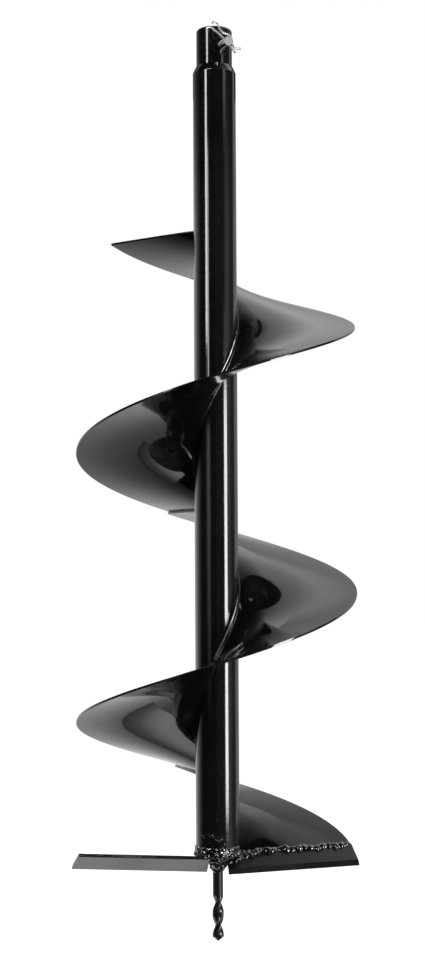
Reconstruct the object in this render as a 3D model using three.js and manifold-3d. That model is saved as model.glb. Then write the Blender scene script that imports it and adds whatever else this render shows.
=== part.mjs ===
// Earth auger bit for a powered post-hole auger, in millimetres, +Z up. The origin is on the axis at the mouth
// of the drive socket, and the bit hangs below it. A tube carries a right-hand flight of three welded
// plate sections, two cutting blades across its lower end and a twisted pilot bit. A pin through
// the socket, kept by a spring wire R-clip, holds the bit on the machine's drive shaft.
import * as THREE from 'three';
import { mergeVertices } from 'three/addons/utils/BufferGeometryUtils.js';
import Module from 'manifold-3d';

const wasm = await Module();
wasm.setup();

// Overall sizes
const overallLength = 800;
const flightDiameter = 245;
const cuttingDiameter = 247;
const gap = 0.3; // between pieces that touch
const roundSides = 48; // facets round the tube and what fits it

// Shaft tube, drive socket and end plug
const tubeDiameter = 38;
const tubeWall = 3;
const socketStandOut = 39.3;
const socketLength = 80;
const boreDiameter = 20;
const socketRounding = 2.5;
const boreChamfer = 0.8;
const socketWeldHeight = 6.5;
const plugLength = 20;

// Flight: a screw surface of plate, wound up from the blades
const topPitch = 228.8;
const lowerPitch = 232.5; // of the middle and bottom sections
const plateThickness = 2;
const flightFoot = 9.5; // height of the bottom section's sheet over the blades' line, where it starts
const flightTop = 855; // degrees of turn from the blade up to the flight's upper end
const upperLap = 453;
const lowerLap = 90;
const turnStep = 6; // degrees between the stations of a sheet
const lapSteps = 2;
const joggleFade = 40; // degrees over which a joggled lap runs out
const topDroop = 1.9;
const droopSpan = 43;
const sheetRings = 5;
const footSpan = 75; // degrees over which the foot is dressed down to its blade
const footTrim = 2.4; // off the outer radius at the foot, to meet the blade's corner
const rootLeg = 2.6;
const lapLeg = 2.4;

// Cutting blades: flat bars, tipped down towards their bevelled edge
const bladeAzimuth = 6.9;
const bladeLift = 63; // height of the blades' line over the pilot's point
const bladeTilt = 33.5;
const bladeRise = 2.6;
const bladeWidth = 25.4;
const bladeThickness = 3.2;
const bladeSetBack = 15.5; // from the axis back to the trailing edge, along the tilted bar
const bladeInnerReach = 8.5;
const bladeBevel = 4;
const bladeLand = 0.6;
const bladeEndSlant = 3.4;
const oppositeExtraReach = 2.9; // the other blade is cut a little longer, on a steeper slant
const oppositeEndSlant = 5.4;
const bladeClearOfTube = 0.9;

// Pilot bit
const pilotShank = 9;
const pilotWide = 9.8;
const pilotThin = 5.2;
const pilotTwistLength = 36;
const pilotPointLength = 4;
const pilotHalfTurn = 19.5;
const pilotTurnIn = 4;
const pilotSocketDepth = 18;

// Drive pin and R-clip
const pinAzimuth = -63;
const pinDrop = 17.1;
const pinDiameter = 8;
const pinClearance = 0.3; // on the radius, in the socket's cross hole
const pinHeadDiameter = 12.5;
const pinHeadThickness = 2.6;
const pinEndRoom = 3.8; // from the clip's hole to the pin's end
const clipStandOff = 7.9; // from the socket's wall to the clip's hole
const clipWire = 1.8;
const clipHoleClearance = 0.25; // on the radius
const clipSlope = -42.4;
const clipEyeRadius = 3.5;
const clipEyeReach = 17.1;
const clipTipReach = 12.4;

const tubeRadius = tubeDiameter / 2;
const tubeInner = tubeRadius - tubeWall;
const socketRadius = tubeInner - gap;
const tubeTop = -socketStandOut;
const bladeLine = bladeLift - overallLength;
const flightRadius = flightDiameter / 2;
const sheetInner = tubeRadius + gap;
const tilt = THREE.MathUtils.degToRad(bladeTilt);
const rise = THREE.MathUtils.degToRad(bladeRise);
const pilotHole = pilotShank / 2 + gap;

const { degToRad, lerp, smoothstep } = THREE.MathUtils;
const auger = new THREE.Group();

const blackPaint = { color: 0x141414, roughness: 0.22, metalness: 0.0 };
const weldPaint = { color: 0x101010, roughness: 0.18, metalness: 0.0 };
const zincPlate = { color: 0xc9cbcc, roughness: 0.3, metalness: 1.0 };

function addPiece(name, geometry, finish, parent = auger) {
  const mesh = new THREE.Mesh(geometry, new THREE.MeshStandardMaterial(finish));
  mesh.name = name;
  parent.add(mesh);
  return mesh;
}

// Keeps positions only and shares the vertices of neighbouring faces.
function closeUp(geometry) {
  geometry.deleteAttribute('normal');
  geometry.deleteAttribute('uv');
  const merged = mergeVertices(geometry, 1e-4);
  merged.computeVertexNormals();
  return merged;
}

function toManifold(geometry) {
  const closed = closeUp(geometry);
  const vertProperties = new Float32Array(closed.attributes.position.array);
  const triVerts = new Uint32Array(closed.index.array);
  return new wasm.Manifold(new wasm.Mesh({ numProp: 3, vertProperties, triVerts }));
}

function toGeometry(solid) {
  const mesh = solid.getMesh();
  const geometry = new THREE.BufferGeometry();
  geometry.setAttribute('position', new THREE.BufferAttribute(new Float32Array(mesh.vertProperties), 3));
  geometry.setIndex(new THREE.BufferAttribute(new Uint32Array(mesh.triVerts), 1));
  geometry.computeVertexNormals();
  return geometry;
}

// A ring about Z whose section is the list of [radius, z] corners, taken counter-clockwise with radius to the right.
function turned(corners, segments) {
  const section = corners.map(([radius, z]) => new THREE.Vector2(radius, z));
  section.push(section[0].clone());
  return closeUp(new THREE.LatheGeometry(section, segments).rotateX(Math.PI / 2));
}

// A unit block whose points are moved by place(x, y, z), with x, y and z from 0 to 1.
function shapedBlock(xParts, yParts, zParts, place) {
  const block = new THREE.BoxGeometry(1, 1, 1, xParts, yParts, zParts);
  const points = block.attributes.position;
  for (let i = 0; i < points.count; i += 1) {
    const moved = place(points.getX(i) + 0.5, points.getY(i) + 0.5, points.getZ(i) + 0.5);
    points.setXYZ(i, moved.x, moved.y, moved.z);
  }
  return closeUp(block);
}

// ---- Shaft tube, the drive socket in its top, the weld round the socket, the plug in its bottom ----

// The blades' highest corner under the tube is its trailing edge, so the tube stops just above that.
const bladeCrest = bladeLine + bladeSetBack * Math.sin(tilt) + bladeThickness * Math.cos(tilt)
  + tubeRadius * Math.sin(rise);
const tubeBottom = bladeCrest + bladeClearOfTube;
addPiece('shaft_tube', turned([
  [tubeInner, tubeBottom], [tubeRadius, tubeBottom], [tubeRadius, tubeTop], [tubeInner, tubeTop],
], roundSides), blackPaint);

const roundedEdge = [0, 30, 60, 90].map((degrees) => [
  socketRadius - socketRounding * (1 - Math.cos(degToRad(degrees))),
  -socketRounding * (1 - Math.sin(degToRad(degrees))),
]);
const socketBlank = turned([
  [boreDiameter / 2, -socketLength], [socketRadius, -socketLength], ...roundedEdge,
  [boreDiameter / 2 + boreChamfer, 0], [boreDiameter / 2, -boreChamfer],
], roundSides);
const crossHole = new THREE.CylinderGeometry(
  pinDiameter / 2 + pinClearance, pinDiameter / 2 + pinClearance, tubeDiameter, 32,
);
crossHole.rotateZ(Math.PI / 2).rotateZ(degToRad(pinAzimuth)).translate(0, 0, -pinDrop);
addPiece('drive_socket', toGeometry(toManifold(socketBlank).subtract(toManifold(crossHole))), blackPaint);

const weldFoot = tubeTop + gap;
addPiece('socket_weld', turned([
  [socketRadius + gap, weldFoot], [tubeRadius - gap / 2, weldFoot],
  [(socketRadius + tubeRadius) / 2 + gap, weldFoot + socketWeldHeight * 0.6],
  [socketRadius + gap, weldFoot + socketWeldHeight],
], roundSides), weldPaint);

addPiece('end_plug', turned([
  [pilotHole, tubeBottom], [socketRadius, tubeBottom],
  [socketRadius, tubeBottom + plugLength], [pilotHole, tubeBottom + plugLength],
], roundSides), blackPaint);

// ---- Flight ----

const radialWay = (azimuth) => new THREE.Vector3(Math.cos(degToRad(azimuth)), Math.sin(degToRad(azimuth)), 0);
const slopeAt = (radius) => Math.atan(lowerPitch / (2 * Math.PI * radius));
const sheetGap = plateThickness + gap;
const fade = (value, from, to) => smoothstep(value, Math.min(from, to), Math.max(from, to));

const trailingHeight = (reach) => bladeLine + bladeSetBack * Math.sin(tilt)
  + (bladeThickness / 2) * Math.cos(tilt) + reach * Math.sin(rise);

// Height of the plain screw: the upper lap is where its pitch changes.
const climb = (turn) => bladeLine + flightFoot
  + (lowerPitch * Math.min(turn, upperLap) + topPitch * Math.max(turn - upperLap, 0)) / 360;

// Height of the sheet's middle. Each section starts one plate above the end of the one below it,
// which is joggled in the lap to lie parallel under it.
function sheetHeight(section, radius, turn) {
  let height = climb(turn) + sheetGap * section.above;
  if (section.lapTop !== undefined) {
    const joggle = 1 - fade(turn, section.lapTop - joggleFade, section.lapTop - lapTurn);
    height -= (sheetGap / Math.cos(slopeAt(radius)) - sheetGap) * (1 - joggle);
  }
  if (section === sections.top) height -= topDroop * fade(turn, flightTop - droopSpan, flightTop);
  if (section === sections.bottom) height += footDressing(radius, turn);
  return height;
}

const lapTurn = lapSteps * turnStep;
const sections = {
  top: { above: 2, from: upperLap, to: flightTop },
  middle: { above: 1, from: lowerLap, to: upperLap + lapTurn, lapTop: upperLap + lapTurn },
  bottom: { above: 0, to: lowerLap + lapTurn, lapTop: lowerLap + lapTurn },
};

// The foot's end runs square along the back of its blade and is dressed level with it.
const footBack = bladeSetBack * Math.cos(tilt) + (plateThickness / 2) * Math.sin(slopeAt(flightRadius));
const footTurn = (radius) => THREE.MathUtils.radToDeg(Math.asin(Math.min(1, footBack / radius)));

function footDressing(radius, turn) {
  const end = footTurn(radius);
  const level = trailingHeight(radius * Math.cos(degToRad(end)));
  return (level - climb(end)) * (1 - fade(turn, end, end + footSpan));
}

function middlePoint(section, radius, turn) {
  return radialWay(bladeAzimuth + turn).multiplyScalar(radius).setZ(sheetHeight(section, radius, turn));
}

// Outwards and uphill along the sheet, and square to it, upwards.
function sheetFrame(section, radius, turn) {
  const step = 0.05;
  const out = middlePoint(section, radius + step, turn).sub(middlePoint(section, radius - step, turn)).normalize();
  const uphill = middlePoint(section, radius, turn + step).sub(middlePoint(section, radius, turn - step)).normalize();
  const upward = new THREE.Vector3().crossVectors(out, uphill).normalize();
  return { out, uphill, upward };
}

// A point off the sheet's middle by lift, moved without changing its radius so that edges stay true.
function sheetPoint(section, radius, turn, lift) {
  const { upward } = sheetFrame(section, radius, turn);
  const radial = radialWay(bladeAzimuth + turn);
  const level = upward.clone().addScaledVector(radial, -upward.dot(radial));
  return middlePoint(section, radius, turn).addScaledVector(level, lift / level.dot(upward));
}

const ringRadius = (share) => sheetInner * (flightRadius / sheetInner) ** share;
const footNarrowing = (turn) => footTrim * (1 - fade(turn, footTurn(flightRadius), lowerLap));

// Turn angle at a share of the section's length. The bottom section keeps whole steps in its lap,
// and spreads the rest down to its foot.
function turnAt(section, share, radius) {
  if (section !== sections.bottom) return lerp(section.from, section.to, share);
  const lapShare = lapSteps / bottomSteps;
  if (share > 1 - lapShare) return lerp(lowerLap, section.to, (share - 1 + lapShare) / lapShare);
  return lerp(footTurn(radius), lowerLap, share / (1 - lapShare));
}

const bottomSteps = Math.round((sections.bottom.to - footTurn(flightRadius)) / turnStep);
const stepsOf = (section) => (section === sections.bottom
  ? bottomSteps : Math.round((section.to - section.from) / turnStep));

for (const [name, section] of Object.entries(sections)) {
  const steps = stepsOf(section);
  addPiece(`flight_${name}`, shapedBlock(sheetRings, steps, 1, (x, y, z) => {
    const radius = ringRadius(x);
    const turn = turnAt(section, y, radius);
    const trim = section === sections.bottom && x === 1 ? footNarrowing(turn) : 0;
    return sheetPoint(section, radius - trim, turn, (z - 0.5) * plateThickness);
  }), blackPaint);

  // A hollow-faced fillet weld joins each face of the sheet to the tube.
  for (const side of [1, -1]) {
    const start = Math.round(steps * 0.02) + 1;
    const stop = steps - lapSteps - 1;
    const weldName = side > 0 ? `root_weld_${name}` : `root_weld_${name}_underside`;
    addPiece(weldName, shapedBlock(1, stop - start, 1, (x, y, z) => {
      const up = side > 0 ? z : 1 - z;
      const hollow = x * up * 0.58;
      const turn = turnAt(section, (start + y * (stop - start)) / steps, sheetInner);
      const lift = side * (plateThickness / 2 + gap * (1 + x) + rootLeg * (up - hollow));
      const point = sheetPoint(section, sheetInner, turn, lift);
      return point.addScaledVector(sheetFrame(section, sheetInner, turn).out, rootLeg * (x - hollow));
    }), weldPaint);
  }
}

// A bead along each lap fills the corner between the upper section's end and the sheet under it.
for (const [name, section] of [['upper', sections.top], ['lower', sections.middle]]) {
  addPiece(`lap_weld_${name}`, shapedBlock(sheetRings - 1, 1, 1, (x, y, z) => {
    const radius = ringRadius(lerp(1 / sheetRings, 1, x) - 0.004);
    const { uphill, upward } = sheetFrame(section, radius, section.from);
    const downhill = 1 - y;
    const hollow = downhill * z * 0.5;
    return sheetPoint(section, radius, section.from, -plateThickness / 2)
      .addScaledVector(uphill, -gap - lapLeg * (downhill - hollow))
      .addScaledVector(upward, gap / 2 + lapLeg * (z - hollow));
  }), weldPaint);
}

// ---- Cutting blades ----

// A point of the blade: reach along the bar, back from its trailing edge, and up from its underside.
function bladePoint(reach, across, up) {
  const out = radialWay(bladeAzimuth);
  const lead = new THREE.Vector3(out.y, -out.x, 0);
  const alongWidth = lead.clone().multiplyScalar(Math.cos(tilt)).setZ(-Math.sin(tilt));
  const upward = lead.clone().multiplyScalar(Math.sin(tilt)).setZ(Math.cos(tilt));
  return out.multiplyScalar(reach * Math.cos(rise)).setZ(bladeLine + reach * Math.sin(rise))
    .addScaledVector(alongWidth, across - bladeSetBack)
    .addScaledVector(upward, up);
}

function bladeGeometry(reach, endSlant) {
  return shapedBlock(1, 2, 1, (x, y, z) => {
    const across = y === 0 ? bladeWidth : (y === 1 ? 0 : bladeWidth - bladeBevel);
    const outer = reach - endSlant * (1 - across / bladeWidth);
    const top = across === bladeWidth ? bladeLand : bladeThickness;
    return bladePoint(lerp(bladeInnerReach, outer, x), across, z * top);
  });
}

addPiece('blade_under_flight', bladeGeometry(cuttingDiameter / 2, bladeEndSlant), blackPaint);
const oppositeReach = cuttingDiameter / 2 + oppositeExtraReach;
addPiece('blade_opposite', bladeGeometry(oppositeReach, oppositeEndSlant).rotateZ(Math.PI), blackPaint);

// ---- Welds at the lower end ----

// The bead that joins the flight's foot to its blade lies on the blade, along its trailing edge.
const beadWidth = 6.5;
const beadHeight = 2.6;
const beadOverhang = 1.2; // past the blade's trailing edge, over the flight's end
const beadStart = tubeRadius + 14;
const beadEnd = flightRadius - 4;
addPiece('blade_weld', shapedBlock(12, 4, 1, (x, y, z) => {
  const crown = 1 - 0.8 * (2 * y - 1) ** 2;
  const across = beadWidth * (1 - y) - beadOverhang;
  return bladePoint(lerp(beadStart, beadEnd, x), across, bladeThickness + gap + z * beadHeight * crown);
}), weldPaint);

// The tube is welded to the blades round its lower end, apart from where the flight's foot passes.
const hubWeldOut = 4.6;
const hubWeldHeight = 9;
const hubWeldStart = 82;
const hubWeldEnd = 345;
addPiece('hub_weld', shapedBlock(2, 40, 1, (x, y, z) => {
  const turn = lerp(hubWeldStart, hubWeldEnd, y);
  const height = hubWeldHeight * z * (1 - 0.72 * x);
  return radialWay(bladeAzimuth + turn).multiplyScalar(tubeRadius + gap + hubWeldOut * x)
    .setZ(tubeBottom + height);
}), weldPaint);

// Under the tube, a collar of weld ties the blades' inner ends to the pilot's shank.
const collarRadius = bladeInnerReach - gap;
const collarTop = tubeBottom - gap;
const collarBottom = bladeLine - 2.5;
addPiece('pilot_weld', turned([
  [pilotHole, collarBottom], [pilotHole + 1.2, collarBottom], [collarRadius, collarBottom + 3.5],
  [collarRadius, collarTop], [pilotHole, collarTop],
], 32), weldPaint);

// ---- Pilot bit ----

const pilotTop = tubeBottom + pilotSocketDepth;
const pilotLength = pilotTop + overallLength;
const pilotStations = [
  0, pilotPointLength,
  ...Array.from({ length: 26 }, (_, i) => lerp(pilotPointLength + 1, pilotTwistLength + pilotTurnIn, (i + 1) / 26)),
  pilotLength,
];
addPiece('pilot_bit', (() => {
  const blank = new THREE.CylinderGeometry(1, 1, 1, 18, pilotStations.length - 1).rotateX(Math.PI / 2);
  const points = blank.attributes.position;
  for (let i = 0; i < points.count; i += 1) {
    const height = pilotStations[Math.round((points.getZ(i) + 0.5) * (pilotStations.length - 1))];
    const round = fade(height, pilotTwistLength, pilotTwistLength + pilotTurnIn);
    const wide = lerp(pilotWide / 2, pilotShank / 2, round);
    const thin = lerp(pilotThin / 2, pilotShank / 2, round);
    const point = height === 0 ? 0.06 : 1;
    const twist = (Math.PI * (height - pilotPointLength)) / pilotHalfTurn;
    const x = points.getX(i) * wide * point;
    const y = points.getY(i) * thin * point;
    points.setXYZ(
      i,
      x * Math.cos(twist) - y * Math.sin(twist),
      x * Math.sin(twist) + y * Math.cos(twist),
      height - overallLength,
    );
  }
  return closeUp(blank);
})(), blackPaint);

// ---- Drive pin and its R-clip, in the pin's own frame: x along the pin, z up ----

const pinFrame = new THREE.Group();
pinFrame.rotation.z = degToRad(pinAzimuth);
pinFrame.position.z = -pinDrop;
auger.add(pinFrame);

const clipPlane = socketRadius + clipStandOff;
const pinEnd = clipPlane + pinEndRoom;
const headFace = -(socketRadius + gap);
const pinRadius = pinDiameter / 2;
const pinBlank = turned([
  [0, headFace - pinHeadThickness], [pinHeadDiameter / 2 - 0.6, headFace - pinHeadThickness],
  [pinHeadDiameter / 2, headFace - pinHeadThickness + 0.6], [pinHeadDiameter / 2, headFace],
  [pinRadius, headFace], [pinRadius, pinEnd - 1], [pinRadius - 1, pinEnd], [0, pinEnd],
], 32).rotateY(Math.PI / 2);
const clipHoleRadius = clipWire / 2 + clipHoleClearance;
const clipHole = new THREE.CylinderGeometry(clipHoleRadius, clipHoleRadius, pinDiameter * 2, 16);
clipHole.rotateX(Math.PI / 2).rotateX(Math.PI / 2 + degToRad(clipSlope)).translate(clipPlane, 0, 0);
addPiece('drive_pin', toGeometry(toManifold(pinBlank).subtract(toManifold(clipHole))), zincPlate, pinFrame);

// The clip's wire: a straight leg through the pin, a round eye, and a leg that waves over the pin.
// Points are along the straight leg, away from the eye, and up from it.
const eyeDrop = 1.9;
const eyeWay = (degrees) => [
  -clipEyeReach + clipEyeRadius * Math.cos(degToRad(degrees)),
  eyeDrop + clipEyeRadius * Math.sin(degToRad(degrees)),
];
const waveTop = pinRadius + clipWire / 2 + 1.7;
const wire = [
  [clipTipReach, 0], [clipTipReach / 2, 0], [0, 0], [-clipEyeReach * 0.45, 0], [-clipEyeReach * 0.66, -0.3],
  ...[-75, -115, -155, -195, -235, -275, -315].map(eyeWay),
  [-clipEyeReach * 0.76, 3.9], [-clipEyeReach * 0.56, 3.2], [-pinRadius * 1.55, 4.7], [-pinRadius * 0.8, waveTop - 0.3],
  [-pinRadius * 0.05, waveTop], [pinRadius * 0.65, waveTop - 1], [pinRadius * 1.22, 3.5], [pinRadius * 1.8, 2.6],
  [pinRadius * 2.4, 3.2], [clipTipReach + 1, 7],
];
const alongLeg = new THREE.Vector3(0, Math.cos(degToRad(clipSlope)), Math.sin(degToRad(clipSlope)));
const overLeg = new THREE.Vector3(0, -alongLeg.z, alongLeg.y);
const clipSpine = new THREE.CatmullRomCurve3(wire.map(([along, over]) => (
  new THREE.Vector3(clipPlane, 0, 0).addScaledVector(alongLeg, along).addScaledVector(overLeg, over)
)), false, 'centripetal');
const wireSection = new THREE.Shape(new THREE.EllipseCurve(0, 0, clipWire / 2, clipWire / 2).getPoints(8));
addPiece('r_clip', closeUp(new THREE.ExtrudeGeometry(wireSection, {
  steps: 72, bevelEnabled: false, extrudePath: clipSpine,
})), zincPlate, pinFrame);

export default auger;
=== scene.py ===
"""An earth auger bit for a powered post-hole auger: a tube with a right-hand flight of welded plate, two
cutting blades and a twisted pilot bit, painted gloss black, with a plated drive pin and R-clip at its top.
Lengths are in metres and turns in degrees. The bit hangs below its drive socket, whose mouth is at the
origin."""
import random
from math import asin, atan, cos, degrees, hypot, pi, radians, sin

import bpy
from mathutils import Matrix, Vector


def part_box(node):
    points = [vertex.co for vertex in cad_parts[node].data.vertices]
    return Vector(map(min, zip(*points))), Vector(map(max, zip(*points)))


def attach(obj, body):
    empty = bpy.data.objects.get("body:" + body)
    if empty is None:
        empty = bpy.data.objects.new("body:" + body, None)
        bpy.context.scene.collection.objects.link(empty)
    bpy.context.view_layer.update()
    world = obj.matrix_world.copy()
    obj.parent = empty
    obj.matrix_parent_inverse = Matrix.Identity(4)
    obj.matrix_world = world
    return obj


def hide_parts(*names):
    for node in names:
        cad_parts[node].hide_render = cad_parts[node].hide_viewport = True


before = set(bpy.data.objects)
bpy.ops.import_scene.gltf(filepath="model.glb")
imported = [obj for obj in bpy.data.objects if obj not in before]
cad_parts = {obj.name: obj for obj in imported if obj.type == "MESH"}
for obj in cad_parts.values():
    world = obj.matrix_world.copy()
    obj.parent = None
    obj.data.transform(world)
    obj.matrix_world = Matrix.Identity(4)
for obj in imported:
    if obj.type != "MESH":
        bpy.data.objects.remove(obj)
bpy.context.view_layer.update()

# ---- Camera -------------------------------------------------------------------------------------------
# A long lens, a little below the middle of the bit and tipped up slightly.
CAMERA_PLACE = Vector((0.0, -1.51699, -0.48345))
CAMERA_YAW, CAMERA_PITCH, CAMERA_ROLL = radians(-0.12), radians(2.97), radians(-0.26)
CAMERA_LENS, CAMERA_FILM = 64.26, 36
forward = Vector((sin(CAMERA_YAW) * cos(CAMERA_PITCH), cos(CAMERA_YAW) * cos(CAMERA_PITCH),
                  sin(CAMERA_PITCH)))
level_right = Vector((cos(CAMERA_YAW), -sin(CAMERA_YAW), 0.0))
level_up = level_right.cross(forward)
camera_right = level_right * cos(CAMERA_ROLL) + level_up * sin(CAMERA_ROLL)
camera_up = level_up * cos(CAMERA_ROLL) - level_right * sin(CAMERA_ROLL)
camera = bpy.data.objects.new("camera", bpy.data.cameras.new("camera"))
camera.data.lens = CAMERA_LENS
camera.data.sensor_width = CAMERA_FILM
camera.matrix_world = Matrix.Translation(CAMERA_PLACE) @ Matrix(
    (camera_right, camera_up, -forward)).transposed().to_4x4()
bpy.context.scene.collection.objects.link(camera)
bpy.context.scene.camera = camera
bpy.context.scene.view_settings.view_transform = "Standard"


# ---- Studio -------------------------------------------------------------------------------------------
# A white sweep behind and below the bit and a dark room behind the camera, with a narrow softbox on each side
# of it, so that the paint stays black and the tube shows one bright line from each.
def adder(tree):
    """A function that adds a node to the tree with its input values."""
    def add(kind, **inputs):
        node = tree.nodes.new(kind)
        for socket, value in inputs.items():
            node.inputs[socket.replace("_", " ")].default_value = value
        return node

    return add


def make_material(name):
    """An empty node material: its tree and the function that adds a node to it."""
    material = bpy.data.materials.new(name)
    material.use_nodes = True
    material.node_tree.nodes.clear()
    return material, material.node_tree, adder(material.node_tree)


def join_up(tree, *pairs):
    """Links each pair of sockets."""
    for source, target in pairs:
        tree.links.new(source, target)


def ramp(add, stops, low, high):
    """A ramp of grey levels against a number from low to high, as (number, level) stops."""
    node = add("ShaderNodeValToRGB")
    elements = node.color_ramp.elements
    while len(elements) < len(stops):
        elements.new(0.5)
    for element, (number, level) in zip(elements, stops):
        element.position = (number - low) / (high - low)
        element.color = (level, level, level, 1)
    return node


def spread(add, low, high):
    """Brings a number from low to high to the ramp's 0 to 1."""
    return add("ShaderNodeMapRange", From_Min=low, From_Max=high)


def math_node(add, operation):
    """One sum, worked out by the nodes."""
    node = add("ShaderNodeMath")
    node.operation = operation
    return node


SKY_LEVEL = 1.75
SKY_FILL = 0.5
world = bpy.data.worlds.new("white studio")
bpy.context.scene.world = world
world.use_nodes = True
world.node_tree.nodes.clear()
add_to_sky = adder(world.node_tree)


def bearing_ramp(*stops):
    """A ramp against the bearing in degrees: 0 is straight behind the bit and 90 on its right."""
    return ramp(add_to_sky, [(radians(angle), level) for angle, level in stops], -pi, pi)


def height_ramp(*stops):
    """A ramp against the height above the horizon in degrees."""
    return ramp(add_to_sky, [(sin(radians(angle)), level) for angle, level in stops], -1, 1)


sky_way = add_to_sky("ShaderNodeTexCoord")
sky_parts = add_to_sky("ShaderNodeSeparateXYZ")
bearing = math_node(add_to_sky, "ARCTAN2")
bearing_share = spread(add_to_sky, -pi, pi)
by_bearing = bearing_ramp((-61, 0.0), (-58, 0.11), (-40, 0.22), (-22, 0.46), (0, 0.6), (20, 0.74), (45, 0.9),
                          (62, 0.6), (100, 0.25), (150, 0.03))
height_share = spread(add_to_sky, -1, 1)
by_height = height_ramp((-80, 0.3), (-62, 0.24), (-45, 0.34), (-30, 0.62), (-15, 0.87), (5, 0.95), (25, 0.86),
                        (40, 0.98), (55, 0.75), (66, 0.7), (80, 0.24))
sweep = math_node(add_to_sky, "MULTIPLY")
right_dark = bearing_ramp((5, 0.0), (22, 0.6), (40, 0.6), (62, 0.45), (64, 0.5), (67, 0.95), (150, 0.95))
near_level = height_ramp((-19, 0.0), (-15, 1.0), (17, 1.0), (23, 0.0))
darken = math_node(add_to_sky, "MULTIPLY")
kept_share = math_node(add_to_sky, "SUBTRACT")
kept_share.inputs[0].default_value = 1.0
kept_sweep = math_node(add_to_sky, "MULTIPLY")
side_glow = bearing_ramp((-112, 0.01), (-97, 0.01), (-88, 0.07), (-80, 0.15), (-70, 0.27), (-60, 0.42),
                         (-47, 0.62), (-30, 0.62), (0, 0.4), (30, 0.22), (60, 0.4), (65, 0.4), (68, 0.07),
                         (90, 0.07), (108, 0.24), (118, 0.24), (135, 0.03))
side_band = height_ramp((-19, 0.0), (-14, 1.0), (11.5, 1.0), (14, 0.5), (17, 0.12), (22, 0.0))
sides = math_node(add_to_sky, "MULTIPLY")
brighter = math_node(add_to_sky, "MAXIMUM")
sky_level = math_node(add_to_sky, "MULTIPLY")
sky_level.inputs[1].default_value = SKY_LEVEL
sky_rays = add_to_sky("ShaderNodeLightPath")
glossy = math_node(add_to_sky, "MAXIMUM")
fill = add_to_sky("ShaderNodeBackground", Color=(1, 1, 1, 1), Strength=SKY_FILL)
mirrored = add_to_sky("ShaderNodeBackground", Color=(1, 1, 1, 1))
backdrop = add_to_sky("ShaderNodeBackground", Color=(1, 1, 1, 1), Strength=1.0)
gloss_mix = add_to_sky("ShaderNodeMixShader")
camera_mix = add_to_sky("ShaderNodeMixShader")
join_up(
    world.node_tree,
    (sky_way.outputs["Generated"], sky_parts.inputs[0]),
    (sky_parts.outputs["X"], bearing.inputs[0]),
    (sky_parts.outputs["Y"], bearing.inputs[1]),
    (bearing.outputs[0], bearing_share.inputs["Value"]),
    (bearing_share.outputs[0], by_bearing.inputs["Fac"]),
    (sky_parts.outputs["Z"], height_share.inputs["Value"]),
    (height_share.outputs[0], by_height.inputs["Fac"]),
    (by_bearing.outputs["Color"], sweep.inputs[0]),
    (by_height.outputs["Color"], sweep.inputs[1]),
    (bearing_share.outputs[0], side_glow.inputs["Fac"]),
    (height_share.outputs[0], side_band.inputs["Fac"]),
    (side_glow.outputs["Color"], sides.inputs[0]),
    (side_band.outputs["Color"], sides.inputs[1]),
    (bearing_share.outputs[0], right_dark.inputs["Fac"]),
    (height_share.outputs[0], near_level.inputs["Fac"]),
    (right_dark.outputs["Color"], darken.inputs[0]),
    (near_level.outputs["Color"], darken.inputs[1]),
    (darken.outputs[0], kept_share.inputs[1]),
    (kept_share.outputs[0], kept_sweep.inputs[0]),
    (sweep.outputs[0], kept_sweep.inputs[1]),
    (kept_sweep.outputs[0], brighter.inputs[0]),
    (sides.outputs[0], brighter.inputs[1]),
    (brighter.outputs[0], sky_level.inputs[0]),
    (sky_level.outputs[0], mirrored.inputs["Strength"]),
    (sky_rays.outputs["Is Glossy Ray"], glossy.inputs[0]),
    (sky_rays.outputs["Is Transmission Ray"], glossy.inputs[1]),
    (glossy.outputs[0], gloss_mix.inputs["Fac"]),
    (fill.outputs[0], gloss_mix.inputs[1]),
    (mirrored.outputs[0], gloss_mix.inputs[2]),
    (sky_rays.outputs["Is Camera Ray"], camera_mix.inputs["Fac"]),
    (gloss_mix.outputs[0], camera_mix.inputs[1]),
    (backdrop.outputs[0], camera_mix.inputs[2]),
    (camera_mix.outputs[0], add_to_sky("ShaderNodeOutputWorld").inputs["Surface"]),
)

# The floor keeps the shadow and is lifted to white where the camera sees it. Gloss looks through it to the
# sweep.
FLOOR_HEIGHT, FLOOR_SIZE = -0.95, 30
FLOOR_WHITE, FLOOR_LIFT = 0.8, 0.62
floor_material, floor_tree, add_to_floor = make_material("white floor")
paper = add_to_floor("ShaderNodeBsdfDiffuse", Color=(FLOOR_WHITE, FLOOR_WHITE, FLOOR_WHITE, 1))
lift = add_to_floor("ShaderNodeEmission", Color=(1, 1, 1, 1), Strength=FLOOR_LIFT)
lifted = add_to_floor("ShaderNodeAddShader")
seen = add_to_floor("ShaderNodeMixShader")
clear = add_to_floor("ShaderNodeBsdfTransparent")
open_to_gloss = add_to_floor("ShaderNodeMixShader")
floor_rays = add_to_floor("ShaderNodeLightPath")
join_up(
    floor_tree,
    (paper.outputs[0], lifted.inputs[0]),
    (lift.outputs[0], lifted.inputs[1]),
    (floor_rays.outputs["Is Camera Ray"], seen.inputs["Fac"]),
    (paper.outputs[0], seen.inputs[1]),
    (lifted.outputs[0], seen.inputs[2]),
    (floor_rays.outputs["Is Glossy Ray"], open_to_gloss.inputs["Fac"]),
    (seen.outputs[0], open_to_gloss.inputs[1]),
    (clear.outputs[0], open_to_gloss.inputs[2]),
    (open_to_gloss.outputs[0], add_to_floor("ShaderNodeOutputMaterial").inputs["Surface"]),
)
bpy.ops.object.select_all(action="DESELECT")
bpy.ops.mesh.primitive_plane_add(size=FLOOR_SIZE, location=(0, 0, FLOOR_HEIGHT))
floor = bpy.context.object
floor.name = "floor"
floor.data.materials.append(floor_material)


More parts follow.
